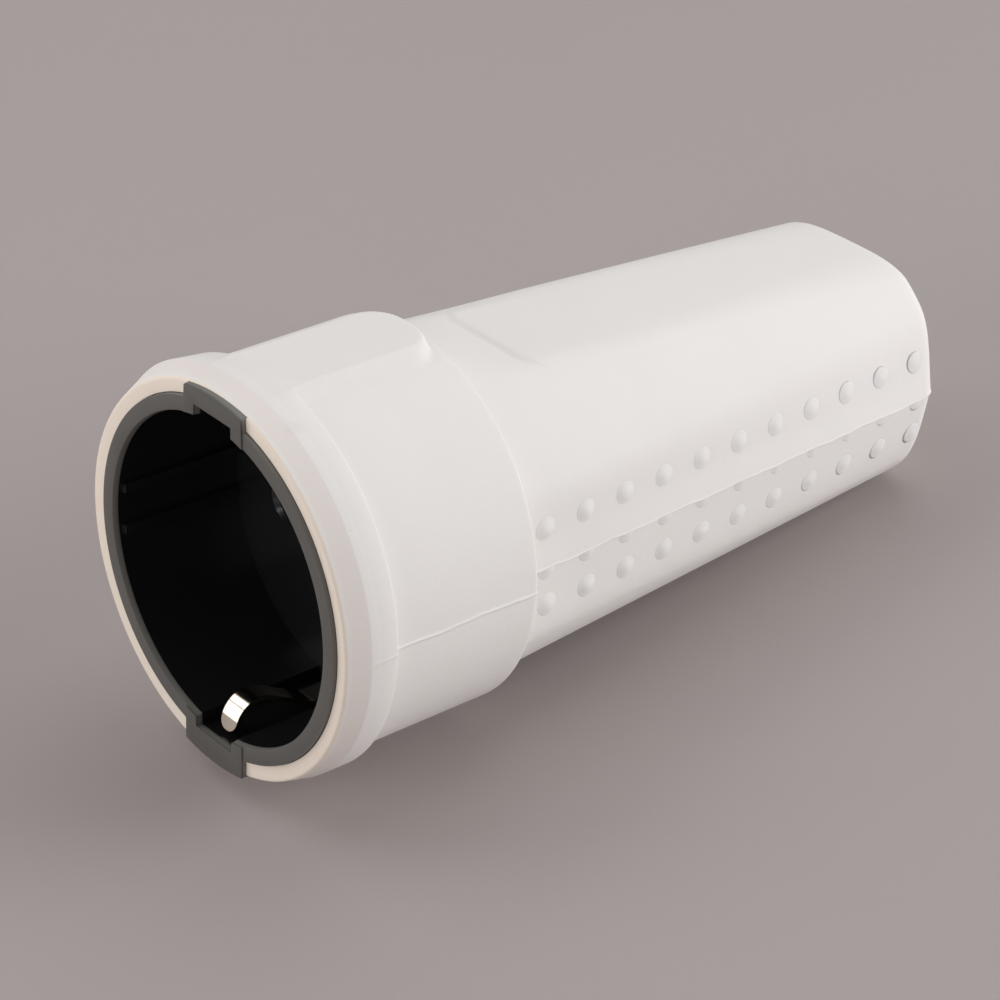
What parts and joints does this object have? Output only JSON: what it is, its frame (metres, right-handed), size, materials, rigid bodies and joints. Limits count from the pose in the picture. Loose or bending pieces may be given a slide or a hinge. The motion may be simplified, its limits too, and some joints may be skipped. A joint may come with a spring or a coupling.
{
  "type": "two-pole socket",
  "caption": "Trailing two-pole socket with a round recess, side earth clips and a tapered soft grip with rows of bumps.",
  "frame": {"origin": "centre of the mouth, on the socket's axis, in the plane of the cup's rim face", "axes": "+X along the axis from the mouth to the cable entry, +Z towards the upper earth clip, the two pin holes on the Y axis"},
  "size_m": [0.0997, 0.0488, 0.0488],
  "materials": {
    "soft_white": "off-white soft moulding with a faint satin sheen and fine mould texture",
    "black_moulding": "black hard moulding, glossy inside the recess and dull on the rim's face",
    "grey_moulding": "dark grey filled moulding, dull",
    "brass": "plain brass, stamped and turned",
    "spring_steel": "bare spring steel",
    "plated_strip": "plated brass strip, bright on the bent faces",
    "screw_steel": "zinc-plated steel"
  },
  "bodies": {
    "root": {"sleeve": "soft_white", "socket_cup": "black_moulding", "contact_carrier": "grey_moulding", "line_contact_left": "brass", "line_contact_right": "brass", "contact_spring_left": "spring_steel", "contact_spring_right": "spring_steel", "earth_bow": "plated_strip", "earth_terminal": "brass", "earth_rivet": "plated_strip", "terminal_screw_left": "screw_steel", "terminal_screw_right": "screw_steel", "terminal_screw_earth": "screw_steel", "carrier_screw_upper": "screw_steel", "carrier_screw_lower": "screw_steel", "cable_clamp": "grey_moulding", "clamp_screw_left": "screw_steel", "clamp_screw_right": "screw_steel", "clamp_nut_left": "screw_steel", "clamp_nut_right": "screw_steel"}
  },
  "joints": []
}
